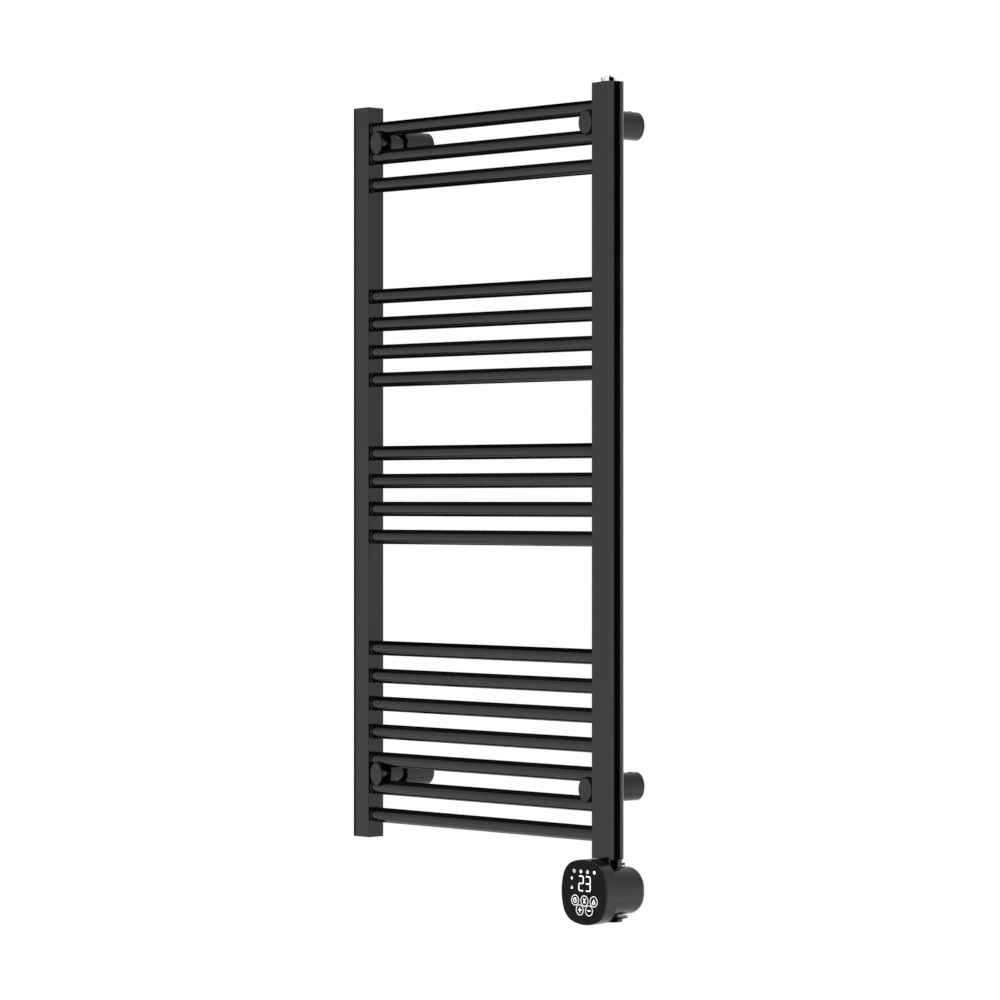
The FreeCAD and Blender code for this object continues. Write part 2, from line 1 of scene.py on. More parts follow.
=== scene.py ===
import json
import math
import bpy
import numpy as np
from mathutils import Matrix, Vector


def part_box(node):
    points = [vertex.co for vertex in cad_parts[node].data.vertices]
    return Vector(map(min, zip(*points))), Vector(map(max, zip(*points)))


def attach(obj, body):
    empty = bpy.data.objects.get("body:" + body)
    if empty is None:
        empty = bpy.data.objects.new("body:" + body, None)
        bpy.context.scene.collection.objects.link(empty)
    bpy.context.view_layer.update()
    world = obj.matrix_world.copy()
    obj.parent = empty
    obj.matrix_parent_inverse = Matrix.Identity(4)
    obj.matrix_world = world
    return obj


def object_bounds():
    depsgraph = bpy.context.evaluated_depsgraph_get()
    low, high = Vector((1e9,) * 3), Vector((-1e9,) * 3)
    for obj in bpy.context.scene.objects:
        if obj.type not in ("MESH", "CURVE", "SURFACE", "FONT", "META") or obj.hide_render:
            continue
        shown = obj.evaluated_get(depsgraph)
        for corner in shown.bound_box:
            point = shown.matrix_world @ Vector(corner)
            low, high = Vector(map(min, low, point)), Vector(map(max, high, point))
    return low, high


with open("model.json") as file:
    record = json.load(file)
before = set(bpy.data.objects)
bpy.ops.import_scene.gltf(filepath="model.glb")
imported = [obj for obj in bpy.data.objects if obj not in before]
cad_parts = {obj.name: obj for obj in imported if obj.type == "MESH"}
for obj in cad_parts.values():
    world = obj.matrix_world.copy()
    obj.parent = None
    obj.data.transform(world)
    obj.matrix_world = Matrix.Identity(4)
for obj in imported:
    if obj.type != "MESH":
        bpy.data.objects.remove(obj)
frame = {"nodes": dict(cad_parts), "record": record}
nodes = frame["nodes"]
cadLow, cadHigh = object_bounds()
print("frame loaded:", len(nodes), "nodes")


shot = {
    "place": (4.247, -4.045, -0.063),   # metres from the middle of the wall fixings
    "yaw": 46.81,                       # degrees from square-on, past the control-head post
    "lens": 142.3,
}
studio = {
    "background": (1.0, 1.0, 1.0),
    "lowHeight": -0.20,                 # sines of the height angles between which the walls lose light
    "highHeight": 0.45,
    "lowLevel": 1.38,
    "highLevel": 0.78,
    "frontHeading": 30.0,               # degrees from the front towards +X, where the walls are brightest
    "frontFrom": 0.2,
    "frontUpTo": 0.97,
    "frontLift": 1.32,
    "flagLevel": 0.0,
    "flags": (                          # black flags, seen as the dark edges of bars and posts
        {"heading": 91.0, "halfWidth": 35.0, "softness": 0.03},
        {"heading": -98.0, "halfWidth": 36.0, "softness": 0.05},
    ),
}
floorLook = {"drop": 1.0, "radius": 2.1, "colour": (0.80, 0.80, 0.79), "cameraLift": 0.35, "sides": 96}
lamps = {
    "frontSoftbox": {"place": (-1.6, -2.6, 3.2), "size": 1.8, "power": 60.0},
    "rearSoftbox": {"place": (1.2, 2.6, 3.0), "size": 1.8, "power": 45.0},
}


def addCamera():
    data = bpy.data.cameras.new("camera")
    data.lens = shot["lens"]
    data.clip_end = 100.0
    camera = bpy.data.objects.new("camera", data)
    camera.location = shot["place"]
    camera.rotation_euler = (math.pi / 2, 0.0, math.radians(shot["yaw"]))
    bpy.context.collection.objects.link(camera)
    bpy.context.scene.camera = camera


def mathNode(tree, operation, first, second=None):
    # One Math node; each input is a socket or a number.
    node = tree.nodes.new("ShaderNodeMath")
    node.operation = operation
    for socket, value in zip(node.inputs, (first, second)):
        if value is None:
            continue
        if isinstance(value, bpy.types.NodeSocket):
            tree.links.new(value, socket)
        else:
            socket.default_value = value
    return node.outputs[0]


def rangeNode(tree, value, fromLow, fromHigh, toLow, toHigh, smooth=False):
    node = tree.nodes.new("ShaderNodeMapRange")
    if smooth:
        node.interpolation_type = "SMOOTHSTEP"
    tree.links.new(value, node.inputs["Value"])
    node.inputs["From Min"].default_value = fromLow
    node.inputs["From Max"].default_value = fromHigh
    node.inputs["To Min"].default_value = toLow
    node.inputs["To Max"].default_value = toHigh
    return node.outputs["Result"]


def addWorld():
    # Walls that lose light upwards and are brighter in front, cut by two black flags;
    # the camera itself sees plain white.
    world = bpy.data.worlds.new("studio")
    world.use_nodes = True
    bpy.context.scene.world = world
    tree = world.node_tree
    tree.nodes.clear()
    direction = tree.nodes.new("ShaderNodeTexCoord").outputs["Generated"]
    split = tree.nodes.new("ShaderNodeSeparateXYZ")
    tree.links.new(direction, split.inputs[0])
    x, y, z = split.outputs
    flat = mathNode(tree, "SQRT", mathNode(tree, "ADD", mathNode(tree, "MULTIPLY", x, x),
                                           mathNode(tree, "MULTIPLY", y, y)))

    def towards(degrees):
        # cosine of the level angle from the ray to a heading, 0 in front and growing towards +X
        turn = math.radians(degrees)
        along = mathNode(tree, "ADD", mathNode(tree, "MULTIPLY", x, math.sin(turn)),
                         mathNode(tree, "MULTIPLY", y, -math.cos(turn)))
        return mathNode(tree, "DIVIDE", along, flat)

    level = rangeNode(tree, z, studio["lowHeight"], studio["highHeight"],
                      studio["lowLevel"], studio["highLevel"])
    front = rangeNode(tree, towards(studio["frontHeading"]), studio["frontFrom"], studio["frontUpTo"],
                      1.0, studio["frontLift"], smooth=True)
    level = mathNode(tree, "MULTIPLY", level, front)
    for flag in studio["flags"]:
        edge = math.cos(math.radians(flag["halfWidth"]))
        clear = rangeNode(tree, towards(flag["heading"]), edge - flag["softness"], edge + flag["softness"],
                          1.0, studio["flagLevel"], smooth=True)
        level = mathNode(tree, "MULTIPLY", level, clear)
    seen = tree.nodes.new("ShaderNodeBackground")
    seen.inputs["Color"].default_value = (*studio["background"], 1.0)
    lit = tree.nodes.new("ShaderNodeBackground")
    tree.links.new(level, lit.inputs["Strength"])
    mix = tree.nodes.new("ShaderNodeMixShader")
    tree.links.new(tree.nodes.new("ShaderNodeLightPath").outputs["Is Camera Ray"], mix.inputs[0])
    tree.links.new(lit.outputs[0], mix.inputs[1])
    tree.links.new(seen.outputs[0], mix.inputs[2])
    output = tree.nodes.new("ShaderNodeOutputWorld")
    tree.links.new(mix.outputs[0], output.inputs["Surface"])


def addFloor():
    # A round sheet of floor under the object, pale in reflections and nearly white to the camera.
    angle = np.linspace(0.0, 2.0 * math.pi, floorLook["sides"], endpoint=False)
    level = cadLow.z - floorLook["drop"]
    rim = np.stack([floorLook["radius"] * np.cos(angle), floorLook["radius"] * np.sin(angle),
                    np.full_like(angle, level)], axis=1)
    mesh = bpy.data.meshes.new("floor")
    mesh.from_pydata(rim.tolist(), [], [list(range(len(rim)))])
    floor = bpy.data.objects.new("floor", mesh)
    bpy.context.collection.objects.link(floor)
    material = bpy.data.materials.new("paleFloor")
    material.use_nodes = True
    tree = material.node_tree
    shader = tree.nodes["Principled BSDF"]
    shader.inputs["Base Color"].default_value = (*floorLook["colour"], 1.0)
    shader.inputs["Roughness"].default_value = 0.9
    shader.inputs["Specular IOR Level"].default_value = 0.0
    shader.inputs["Emission Color"].default_value = (1.0, 1.0, 1.0, 1.0)
    rays = tree.nodes.new("ShaderNodeLightPath").outputs
    shown = mathNode(tree, "MAXIMUM", rays["Is Camera Ray"],
                     mathNode(tree, "MAXIMUM", rays["Is Glossy Ray"], rays["Is Transmission Ray"]))
    lift = mathNode(tree, "MULTIPLY", shown, floorLook["cameraLift"])
    tree.links.new(lift, shader.inputs["Emission Strength"])
    mesh.materials.append(material)


def addLamps():
    middle = (cadLow + cadHigh) / 2
    for name, lamp in lamps.items():
        data = bpy.data.lights.new(name, "AREA")
        data.size = lamp["size"]
        data.energy = lamp["power"]
        lampObject = bpy.data.objects.new(name, data)
        lampObject.location = lamp["place"]
        lampObject.visible_glossy = False      # the walls alone are mirrored in the gloss
        aim = middle - Vector(lamp["place"])
        lampObject.rotation_euler = aim.to_track_quat("-Z", "Y").to_euler()
        bpy.context.collection.objects.link(lampObject)


addCamera()
addWorld()
addFloor()
addLamps()
bpy.context.scene.view_settings.view_transform = "Standard"
print("studio ready")


def newGroup(name, inputs, outputs):
    # An empty shader node group; inputs and outputs are (name, socket type, default value).
    group = bpy.data.node_groups.new(name, "ShaderNodeTree")
    for label, kind, value in inputs:
        socket = group.interface.new_socket(name=label, in_out="INPUT", socket_type=kind)
        socket.default_value = value
    for label, kind in outputs:
        group.interface.new_socket(name=label, in_out="OUTPUT", socket_type=kind)
    return group, group.nodes.new("NodeGroupInput"), group.nodes.new("NodeGroupOutput")


def noiseIn(tree, vector, scale, detail, roughness=0.5):
    noise = tree.nodes.new("ShaderNodeTexNoise")
    noise.inputs["Detail"].default_value = detail
    noise.inputs["Roughness"].default_value = roughness
    tree.links.new(vector, noise.inputs["Vector"])
    if isinstance(scale, bpy.types.NodeSocket):
        tree.links.new(scale, noise.inputs["Scale"])
    else:
        noise.inputs["Scale"].default_value = scale
    return noise.outputs["Fac"]


def makeGrainGroup():
    # Height of a sprayed or moulded skin: fine grain over a broad, shallow orange peel.
    group, inside, outside = newGroup(
        "skinGrain",
        [("Vector", "NodeSocketVector", (0.0, 0.0, 0.0)), ("Fine Scale", "NodeSocketFloat", 2500.0),
         ("Peel Scale", "NodeSocketFloat", 400.0), ("Peel Share", "NodeSocketFloat", 0.5)],
        [("Height", "NodeSocketFloat")])
    fine = noiseIn(group, inside.outputs["Vector"], inside.outputs["Fine Scale"], 3.0)
    peel = noiseIn(group, inside.outputs["Vector"], inside.outputs["Peel Scale"], 1.0)
    share = inside.outputs["Peel Share"]
    rest = mathNode(group, "SUBTRACT", 1.0, share)
    total = mathNode(group, "ADD", mathNode(group, "MULTIPLY", peel, share),
                     mathNode(group, "MULTIPLY", fine, rest))
    group.links.new(total, outside.inputs["Height"])
    return group


def makeDriftGroup():
    # Slow change over a surface: cloudy film and small specks, both from 0 to 1.
    group, inside, outside = newGroup(
        "surfaceDrift",
        [("Vector", "NodeSocketVector", (0.0, 0.0, 0.0)), ("Cloud Scale", "NodeSocketFloat", 14.0),
         ("Speck Scale", "NodeSocketFloat", 900.0)],
        [("Cloud", "NodeSocketFloat"), ("Specks", "NodeSocketFloat")])
    cloud = noiseIn(group, inside.outputs["Vector"], inside.outputs["Cloud Scale"], 4.0, 0.6)
    specks = noiseIn(group, inside.outputs["Vector"], inside.outputs["Speck Scale"], 2.0)
    group.links.new(rangeNode(group, cloud, 0.3, 0.7, 0.0, 1.0, smooth=True), outside.inputs["Cloud"])
    group.links.new(rangeNode(group, specks, 0.62, 0.74, 0.0, 1.0), outside.inputs["Specks"])
    return group


def makeToolMarkGroup():
    # Fine parallel marks: noise drawn out along one axis by the Stretch vector.
    group, inside, outside = newGroup(
        "toolMarks",
        [("Vector", "NodeSocketVector", (0.0, 0.0, 0.0)),
         ("Stretch", "NodeSocketVector", (1.0, 1.0, 12.0)), ("Scale", "NodeSocketFloat", 700.0)],
        [("Height", "NodeSocketFloat")])
    drawn = group.nodes.new("ShaderNodeVectorMath")
    drawn.operation = "MULTIPLY"
    group.links.new(inside.outputs["Vector"], drawn.inputs[0])
    group.links.new(inside.outputs["Stretch"], drawn.inputs[1])
    marks = noiseIn(group, drawn.outputs[0], inside.outputs["Scale"], 3.0, 0.7)
    group.links.new(marks, outside.inputs["Height"])
    return group


grainGroup = makeGrainGroup()
driftGroup = makeDriftGroup()
toolMarkGroup = makeToolMarkGroup()


def placeGroup(tree, group, vector, values):
    node = tree.nodes.new("ShaderNodeGroup")
    node.node_tree = group
    tree.links.new(vector, node.inputs["Vector"])
    for label, value in values.items():
        node.inputs[label].default_value = value
    return node


def mixColour(tree, mask, first, second):
    node = tree.nodes.new("ShaderNodeMix")
    node.data_type = "RGBA"
    tree.links.new(mask, node.inputs["Factor"])
    node.inputs["A"].default_value = (*first, 1.0)
    node.inputs["B"].default_value = (*second, 1.0)
    return node.outputs["Result"]


def finish(name, look):
    # A material from one look: colour and roughness drift slowly, and the skin has its own relief.
    material = bpy.data.materials.new(name)
    material.use_nodes = True
    tree = material.node_tree
    shader = tree.nodes["Principled BSDF"]
    place = tree.nodes.new("ShaderNodeTexCoord").outputs["Object"]
    drift = placeGroup(tree, driftGroup, place, look.get("drift", {}))
    cloud = drift.outputs["Cloud"]
    colour = mixColour(tree, cloud, look["colour"], look["otherColour"])
    tree.links.new(colour, shader.inputs["Base Color"])
    low, high = look["roughness"]
    roughness = rangeNode(tree, cloud, 0.0, 1.0, low, high)
    if "speckRoughness" in look:
        rise = mathNode(tree, "MULTIPLY", drift.outputs["Specks"], look["speckRoughness"])
        roughness = mathNode(tree, "ADD", roughness, rise)
    tree.links.new(roughness, shader.inputs["Roughness"])
    shader.inputs["Metallic"].default_value = look.get("metallic", 0.0)
    shader.inputs["Specular IOR Level"].default_value = look.get("specular", 0.5)
    relief = toolMarkGroup if "marks" in look else grainGroup
    height = placeGroup(tree, relief, place, look.get("marks", look.get("grain", {}))).outputs["Height"]
    bump = tree.nodes.new("ShaderNodeBump")
    bump.inputs["Strength"].default_value = look["reliefStrength"]
    bump.inputs["Distance"].default_value = look["reliefDepth"]
    tree.links.new(height, bump.inputs["Height"])
    tree.links.new(bump.outputs["Normal"], shader.inputs["Normal"])
    return material


looks = {
    "blackCoat": {      # semi-gloss black powder coat on steel
        "colour": (0.0022, 0.0022, 0.0023), "otherColour": (0.0030, 0.0030, 0.0031),
        "roughness": (0.11, 0.15), "speckRoughness": 0.05,
        "grain": {"Fine Scale": 2600.0, "Peel Scale": 420.0, "Peel Share": 0.7},
        "reliefStrength": 0.10, "reliefDepth": 0.00008,
    },
    "blackPlastic": {   # fine spark-eroded moulding of the control head
        "colour": (0.0028, 0.0028, 0.0029), "otherColour": (0.0036, 0.0036, 0.0037),
        "roughness": (0.20, 0.25), "specular": 0.62,
        "grain": {"Fine Scale": 5200.0, "Peel Scale": 900.0, "Peel Share": 0.2},
        "reliefStrength": 0.12, "reliefDepth": 0.00005,
    },
    "blackGlass": {     # smoked front glass
        "colour": (0.0048, 0.0048, 0.0050), "otherColour": (0.0054, 0.0054, 0.0056),
        "roughness": (0.05, 0.09), "specular": 0.08,
        "grain": {"Fine Scale": 300.0, "Peel Scale": 30.0, "Peel Share": 0.9},
        "reliefStrength": 0.02, "reliefDepth": 0.00005,
    },
    "brightChrome": {
        "colour": (0.86, 0.86, 0.88), "otherColour": (0.80, 0.80, 0.82), "metallic": 1.0,
        "roughness": (0.05, 0.10), "grain": {"Fine Scale": 2500.0, "Peel Scale": 300.0, "Peel Share": 0.8},
        "reliefStrength": 0.04, "reliefDepth": 0.00004,
    },
    "zincSteel": {
        "colour": (0.56, 0.57, 0.60), "otherColour": (0.44, 0.46, 0.50), "metallic": 1.0,
        "roughness": (0.28, 0.42), "drift": {"Cloud Scale": 160.0},
        "marks": {"Stretch": (1.0, 8.0, 1.0), "Scale": 900.0},
        "reliefStrength": 0.25, "reliefDepth": 0.00005,
    },
    "blackSteel": {
        "colour": (0.012, 0.012, 0.013), "otherColour": (0.020, 0.019, 0.018), "metallic": 0.6,
        "roughness": (0.32, 0.45), "drift": {"Cloud Scale": 220.0},
        "marks": {"Stretch": (1.0, 1.0, 6.0), "Scale": 1200.0},
        "reliefStrength": 0.2, "reliefDepth": 0.00004,
    },
    "sealRubber": {
        "colour": (0.010, 0.010, 0.010), "otherColour": (0.016, 0.016, 0.015),
        "roughness": (0.62, 0.75), "specular": 0.3,
        "grain": {"Fine Scale": 3800.0, "Peel Scale": 700.0, "Peel Share": 0.3},
        "reliefStrength": 0.3, "reliefDepth": 0.00006,
    },
    "turnedBrass": {
        "colour": (0.72, 0.53, 0.24), "otherColour": (0.60, 0.43, 0.19), "metallic": 1.0,
        "roughness": (0.22, 0.34), "drift": {"Cloud Scale": 90.0},
        "marks": {"Stretch": (0.4, 0.4, 10.0), "Scale": 800.0},
        "reliefStrength": 0.3, "reliefDepth": 0.00005,
    },
    "drawnSteel": {
        "colour": (0.50, 0.50, 0.49), "otherColour": (0.41, 0.41, 0.41), "metallic": 1.0,
        "roughness": (0.3, 0.42), "drift": {"Cloud Scale": 60.0},
        "marks": {"Stretch": (8.0, 8.0, 0.3), "Scale": 500.0},
        "reliefStrength": 0.25, "reliefDepth": 0.00005,
    },
    "pressedOxide": {
        "colour": (0.78, 0.76, 0.70), "otherColour": (0.70, 0.67, 0.60), "roughness": (0.8, 0.92),
        "drift": {"Cloud Scale": 240.0}, "grain": {"Fine Scale": 3000.0, "Peel Scale": 1200.0},
        "reliefStrength": 0.5, "reliefDepth": 0.0001,
    },
    "displayBlock": {
        "colour": (0.62, 0.62, 0.60), "otherColour": (0.56, 0.56, 0.55), "roughness": (0.3, 0.38),
        "grain": {"Fine Scale": 2600.0, "Peel Scale": 500.0}, "reliefStrength": 0.08, "reliefDepth": 0.00004,
    },
    "relayCase": {
        "colour": (0.030, 0.075, 0.28), "otherColour": (0.024, 0.062, 0.24), "roughness": (0.22, 0.3),
        "grain": {"Fine Scale": 2600.0, "Peel Scale": 500.0}, "reliefStrength": 0.1, "reliefDepth": 0.00004,
    },
    "greyMoulding": {
        "colour": (0.46, 0.46, 0.44), "otherColour": (0.40, 0.40, 0.38), "roughness": (0.45, 0.55),
        "grain": {"Fine Scale": 3600.0, "Peel Scale": 800.0}, "reliefStrength": 0.2, "reliefDepth": 0.00005,
    },
}
materials = {name: finish(name, look) for name, look in looks.items()}

boardLook = {
    "mask": (0.018, 0.12, 0.055), "copper": (0.05, 0.24, 0.10),
    "trackPitch": 380.0, "trackWander": 0.6, "trackCut": (0.78, 0.84), "patchScale": 60.0,
    "roughness": (0.28, 0.36), "reliefStrength": 0.3, "reliefDepth": 0.00004,
}


def makeBoardMaterial():
    # Solder mask over tracks: two crossed wave patterns, cut to thin lines, lighten the green.
    material = bpy.data.materials.new("circuitBoard")
    material.use_nodes = True
    tree = material.node_tree
    shader = tree.nodes["Principled BSDF"]
    place = tree.nodes.new("ShaderNodeTexCoord").outputs["Object"]
    tracks = None
    for axis in ("X", "Z"):
        wave = tree.nodes.new("ShaderNodeTexWave")
        wave.bands_direction = axis
        wave.inputs["Scale"].default_value = boardLook["trackPitch"]
        wave.inputs["Distortion"].default_value = boardLook["trackWander"]
        tree.links.new(place, wave.inputs["Vector"])
        line = rangeNode(tree, wave.outputs["Fac"], *boardLook["trackCut"], 0.0, 1.0)
        tracks = line if tracks is None else mathNode(tree, "MAXIMUM", tracks, line)
    patch = placeGroup(tree, driftGroup, place, {"Cloud Scale": boardLook["patchScale"]}).outputs["Cloud"]
    tracks = mathNode(tree, "MULTIPLY", tracks, patch)
    colour = mixColour(tree, tracks, boardLook["mask"], boardLook["copper"])
    tree.links.new(colour, shader.inputs["Base Color"])
    tree.links.new(rangeNode(tree, patch, 0.0, 1.0, *boardLook["roughness"]), shader.inputs["Roughness"])
    bump = tree.nodes.new("ShaderNodeBump")
    bump.inputs["Strength"].default_value = boardLook["reliefStrength"]
    bump.inputs["Distance"].default_value = boardLook["reliefDepth"]
    tree.links.new(tracks, bump.inputs["Height"])
    tree.links.new(bump.outputs["Normal"], shader.inputs["Normal"])
    return material


materials["circuitBoard"] = makeBoardMaterial()

printLook = {
    "colour": (0.90, 0.90, 0.90), "glow": (0.95, 0.97, 1.0), "glowStrength": 0.9,
    "dimShare": 0.93, "cloudScale": 300.0, "roughness": (0.35, 0.45),
}


def makePrintMaterial():
    # Lit white marks: a pale diffusing skin with its own light, slightly uneven as behind a real mask.
    material = bpy.data.materials.new("litPrint")
    material.use_nodes = True
    tree = material.node_tree
    shader = tree.nodes["Principled BSDF"]
    place = tree.nodes.new("ShaderNodeTexCoord").outputs["Object"]
    cloud = placeGroup(tree, driftGroup, place, {"Cloud Scale": printLook["cloudScale"]}).outputs["Cloud"]
    dim = tuple(printLook["dimShare"] * value for value in printLook["glow"])
    tree.links.new(mixColour(tree, cloud, printLook["glow"], dim), shader.inputs["Emission Color"])
    tree.links.new(rangeNode(tree, cloud, 0.0, 1.0, *printLook["roughness"]), shader.inputs["Roughness"])
    shader.inputs["Base Color"].default_value = (*printLook["colour"], 1.0)
    shader.inputs["Emission Strength"].default_value = printLook["glowStrength"]
    return material


materials["litPrint"] = makePrintMaterial()

slotFinish = {
    "black_coat": "blackCoat", "zinc_steel": "zincSteel", "black_steel": "blackSteel",
    "vent_chrome": "brightChrome", "seal_rubber": "sealRubber", "fitting_brass": "turnedBrass",
    "sheath_steel": "drawnSteel", "element_core": "pressedOxide", "head_plastic": "blackPlastic",
    "panel_gloss": "blackGlass", "circuit_board": "circuitBoard", "display_block": "displayBlock",
    "relay_case": "relayCase", "terminal_plastic": "greyMoulding",
}


def dressNodes():
    for part in frame["record"]["subparts"]:
        mesh = nodes[part["node"]].data
        mesh.materials.clear()
        mesh.materials.append(materials[slotFinish[part["material_slot"]]])


dressNodes()
print("finishes set")


def addMesh(name, points, faces, material, body, smooth=True):
    mesh = bpy.data.meshes.new(name)
    mesh.from_pydata(points.tolist(), [], faces)
    mesh.polygons.foreach_set("use_smooth", np.full(len(mesh.polygons), smooth))
    mesh.materials.append(material)
    piece = bpy.data.objects.new(name, mesh)
    bpy.context.collection.objects.link(piece)
    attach(piece, body)
    return piece


def loopFaces(around, across, start=0):
    # Faces of a grid that closes both ways: around steps by across points in each.
    u = np.arange(around)[:, None]
    v = np.arange(across)[None, :]
    nextU = (u + 1) % around
    nextV = (v + 1) % across
    corners = np.stack([u * across + v, nextU * across + v,
                        nextU * across + nextV, u * across + nextV], axis=-1)
    return (corners.reshape(-1, 4) + start).tolist()


filletLook = {"size": 0.0012, "sink": 0.0003, "around": 56, "arcPoints": 6}


def addFillets():
    # Each fillet is an arc profile turned round its bar. The arc is concave: with s its size and t from
    # 0 to a quarter turn, it stands s - s cos t off the bar and s - s sin t off the post.
    t = np.linspace(0.0, math.pi / 2, filletLook["arcPoints"])
    size = filletLook["size"]
    sink = filletLook["sink"]
    radial = np.append(size - size * np.cos(t), -sink)
    axial = np.append(size - size * np.sin(t), -sink)
    angle = np.linspace(0.0, 2.0 * math.pi, filletLook["around"], endpoint=False)
    points = []
    faces = []
    count = 0
    for name in sorted(n for n in nodes if n.startswith("bar_")):
        low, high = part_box(name)
        middle = (low + high) / 2
        radius = (high.z - low.z) / 2
        for side, x in ((1.0, low.x), (-1.0, high.x)):
            reach = radius + radial
            grid = np.stack([np.broadcast_to(x + side * axial, (len(angle), len(reach))),
                             middle.y + side * np.cos(angle)[:, None] * reach,
                             middle.z + np.sin(angle)[:, None] * reach], axis=-1)
            points.append(grid.reshape(-1, 3))
            faces += loopFaces(len(angle), len(reach), count)
            count += grid.shape[0] * grid.shape[1]
    addMesh("joint_fillets", np.concatenate(points), faces, materials["blackCoat"], "rail")


addFillets()
print("fillets made")


markLook = {
    "proud": 0.00006,           # metres in front of the glass
    "sink": 0.00004,
    "digitCentres": (-0.0062, 0.0076),
    "digitMiddle": 0.0124,
    "digitSize": (0.0108, 0.0222),
    "segmentWidth": 0.0018,
    "segmentGap": 0.00035,
    "indicatorHeight": 0.0292,
    "indicatorPlaces": (-0.0201, -0.0066, 0.0066, 0.0205),
    "indicatorRadius": 0.0025,
    "indicatorHole": 0.68,              # shares of that radius
    "indicatorDot": 0.36,
    "indicatorHalf": 0.7,
    "smallMarks": ((-0.0249, 0.0190), (-0.0249, 0.0058)),
    "smallMarkSize": 0.0021,
    "shackle": (0.62, 0.55, 0.2),       # radius, share of it left open, and rise, by the size
    "keyRadius": 0.0076,
    "keyLine": 0.00085,
    "upperKeys": ((-0.0183, -0.0120), (0.0004, -0.0120), (0.0191, -0.0120)),
    "lowerKeys": ((-0.0089, -0.0253), (0.0097, -0.0253)),
    "signLine": 0.0013,
    "dialShare": 0.50,
    "dialOpens": (40.0, 330.0),         # degrees between which the dial is drawn
    "dialLine": 0.8,                    # shares of signLine
    "handLine": 0.7,
    "handShare": 0.5,                   # share of the dial's radius
    "hourglass": (0.0018, 0.0030),      # half width and half height
    "waistShare": 0.25,
    "drop": (0.0062, 0.0080),
    "dropHole": (0.0030, 0.0042),
    "dropHoleSink": 0.0006,
    "arm": 0.0032,
    "curvePoints": 40,
}
segmentsLit = {"2": "abged", "3": "abgcd"}


def circle(centre, radius, count=None):
    angle = np.linspace(0.0, 2.0 * math.pi, count or markLook["curvePoints"], endpoint=False)
    return np.stack([centre[0] + radius * np.cos(angle), centre[1] + radius * np.sin(angle)], axis=1)


def stroke(first, last, width):
    # Outline of a round-ended line: half circles of radius width / 2 about its two ends.
    first = np.array(first)
    last = np.array(last)
    heading = math.atan2(*(last - first)[::-1])
    half = np.linspace(-math.pi / 2, math.pi / 2, 10)
    front = np.stack([np.cos(heading + half), np.sin(heading + half)], axis=1) * width / 2
    return np.concatenate([last + front, first - front])


def hexagonBar(centre, length, width, upright):
    # Outline of a display segment: a bar with pointed ends.
    tip = length / 2
    neck = tip - width / 2
    side = width / 2
    outline = np.array([(-tip, 0.0), (-neck, -side), (neck, -side),
                        (tip, 0.0), (neck, side), (-neck, side)])
    if upright:
        outline = np.stack([-outline[:, 1], outline[:, 0]], axis=1)
    return outline + np.array(centre)


def dropOutline(centre, width, height):
    # A drop: x = sin t times sin squared of t / 2, z = cos t, with its point upwards.
    t = np.linspace(0.0, 2.0 * math.pi, markLook["curvePoints"], endpoint=False)
    x = -np.sin(t) * np.sin(t / 2) ** 2 * width / 1.3
    return np.stack([centre[0] + x, centre[1] + np.cos(t) * height / 2], axis=1)


class MarkSheet:
    # Collects flat marks on the glass: filled outlines, and bands between two matching outlines.

    def __init__(self, origin, front):
        self.origin = origin
        self.front = front - markLook["proud"]
        self.back = front + markLook["sink"]
        self.points = []
        self.faces = []
        self.count = 0

    def lift(self, outline, depth):
        return np.stack([self.origin[0] + outline[:, 0], np.full(len(outline), depth),
                         self.origin[1] + outline[:, 1]], axis=1)

    def fill(self, outline):
        total = len(outline)
        start = self.count
        self.points += [self.lift(outline, self.front), self.lift(outline, self.back)]
        ring = np.arange(total)
        after = (ring + 1) % total
        self.faces.append((start + ring).tolist())
        self.faces.append((start + total + ring[::-1]).tolist())
        self.faces += np.stack([start + after, start + ring, start + total + ring, start + total + after],
                               axis=1).tolist()
        self.count += 2 * total

    def band(self, outer, inner):
        grid = np.stack([self.lift(outer, self.front), self.lift(outer, self.back),
                         self.lift(inner, self.back), self.lift(inner, self.front)], axis=1)
        self.points.append(grid.reshape(-1, 3))
        self.faces += loopFaces(len(outer), 4, self.count)
        self.count += 4 * len(outer)

    def make(self, name):
        points = np.concatenate(self.points)
        return addMesh(name, points, self.faces, materials["litPrint"], "head",
                       smooth=False)


def addDigits(sheet):
    width, height = markLook["digitSize"]
    line = markLook["segmentWidth"]
    across = width - line - markLook["segmentGap"]
    along = height / 2 - line / 2 - markLook["segmentGap"]
    side = (width - line) / 2
    rise = (height - line) / 2
    spots = {
        "a": ((0.0, rise), across, False), "b": ((side, rise / 2), along, True),
        "c": ((side, -rise / 2), along, True), "d": ((0.0, -rise), across, False),
        "e": ((-side, -rise / 2), along, True), "f": ((-side, rise / 2), along, True),
        "g": ((0.0, 0.0), across, False),
    }
    for digit, x in zip("23", markLook["digitCentres"]):
        for letter in segmentsLit[digit]:
            (dx, dz), length, upright = spots[letter]
            sheet.fill(hexagonBar((x + dx, markLook["digitMiddle"] + dz), length, line, upright))


def addIndicators(sheet):
    # A row that fills up: an open ring, a ring with a dot, a half disc in a ring, a full disc.
    radius = markLook["indicatorRadius"]
    height = markLook["indicatorHeight"]
    places = [(x, height) for x in markLook["indicatorPlaces"]]
    for centre in places[:3]:
        sheet.band(circle(centre, radius), circle(centre, radius * markLook["indicatorHole"]))
    sheet.fill(circle(places[1], radius * markLook["indicatorDot"]))
    half = np.linspace(-math.pi / 2, math.pi / 2, 16)
    disc = np.stack([np.cos(half), np.sin(half)], axis=1) * radius * markLook["indicatorHalf"]
    sheet.fill(disc + np.array(places[2]))
    sheet.fill(circle(places[3], radius))


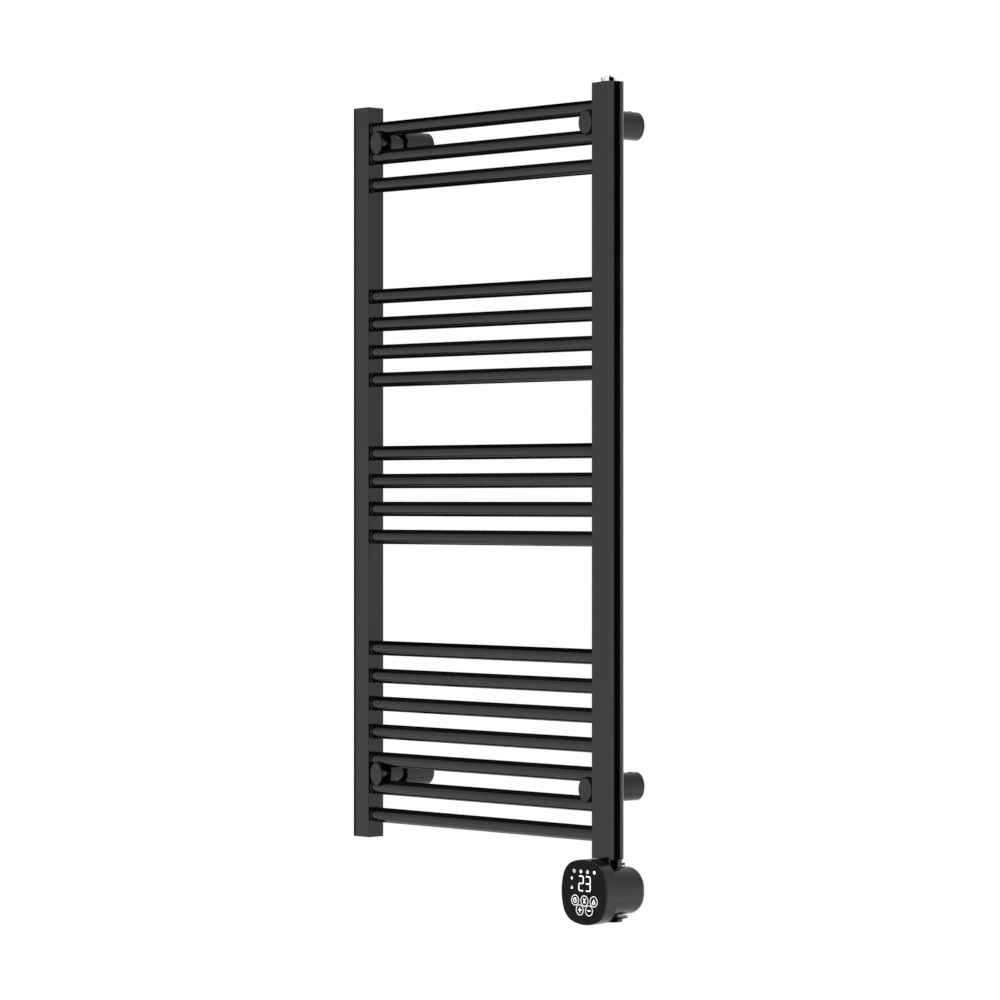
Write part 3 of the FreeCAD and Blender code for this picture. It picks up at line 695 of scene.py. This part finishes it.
def addSmallMarks(sheet):
    # A house for the room setting and a padlock for the key lock.
    size = markLook["smallMarkSize"]
    house, lock = (np.array(place) for place in markLook["smallMarks"])
    roof = np.array([(-1.1, 0.0), (1.1, 0.0), (0.0, 1.1)]) * size
    body = np.array([(-0.75, -1.0), (0.75, -1.0), (0.75, -0.06), (-0.75, -0.06)]) * size
    sheet.fill(house + roof)
    sheet.fill(house + body)
    case = np.array([(-0.8, -1.0), (0.8, -1.0), (0.8, 0.15), (-0.8, 0.15)]) * size
    sheet.fill(lock + case)
    arch = np.linspace(0.0, math.pi, 14)
    reach, hole, rise = markLook["shackle"]
    outer = np.stack([np.cos(arch), np.sin(arch)], axis=1) * size * reach
    inner = outer[::-1] * hole
    shackle = np.concatenate([outer, inner]) + np.array([0.0, rise * size])
    sheet.fill(lock + shackle)


def addKeyRings(sheet):
    for centre in markLook["upperKeys"] + markLook["lowerKeys"]:
        sheet.band(circle(centre, markLook["keyRadius"]),
                   circle(centre, markLook["keyRadius"] - markLook["keyLine"]))


def addKeySigns(sheet):
    line = markLook["signLine"]
    clock, glass, drop = markLook["upperKeys"]
    plus, minus = markLook["lowerKeys"]
    dial = markLook["keyRadius"] * markLook["dialShare"]
    opens, shuts = (math.radians(angle) for angle in markLook["dialOpens"])
    turn = np.linspace(opens, shuts, markLook["curvePoints"])
    outer = np.stack([np.cos(turn), np.sin(turn)], axis=1)
    hook = np.concatenate([outer * dial, outer[::-1] * (dial - line * markLook["dialLine"])])
    sheet.fill(hook + np.array(clock))
    hand = line * markLook["handLine"]
    sheet.fill(stroke(clock, (clock[0], clock[1] + dial * markLook["handShare"]), hand))
    sheet.fill(stroke(clock, (clock[0] + dial, clock[1]), hand))
    wing, top = markLook["hourglass"]
    for side in (-1.0, 1.0):
        waist = (glass[0] - side * wing * markLook["waistShare"], glass[1])
        for end in (-top, top):
            sheet.fill(stroke((glass[0] + side * wing, glass[1] + end), waist, line))
    hole = (drop[0], drop[1] - markLook["dropHoleSink"])
    sheet.band(dropOutline(drop, *markLook["drop"]), dropOutline(hole, *markLook["dropHole"]))
    arm = markLook["arm"]
    sheet.fill(stroke((plus[0] - arm, plus[1]), (plus[0] + arm, plus[1]), line))
    sheet.fill(stroke((plus[0], plus[1] - arm), (plus[0], plus[1] + arm), line))
    sheet.fill(stroke((minus[0] - arm, minus[1]), (minus[0] + arm, minus[1]), line))


def addPanelMarks():
    low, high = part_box("touch_panel")
    origin = ((low.x + high.x) / 2, (low.z + high.z) / 2)
    drawings = {
        "display_digits": addDigits, "level_indicators": addIndicators, "mode_marks": addSmallMarks,
        "key_rings": addKeyRings, "key_signs": addKeySigns,
    }
    for name, draw in drawings.items():
        sheet = MarkSheet(origin, low.y)
        draw(sheet)
        sheet.make(name)


addPanelMarks()
print("panel marks made")
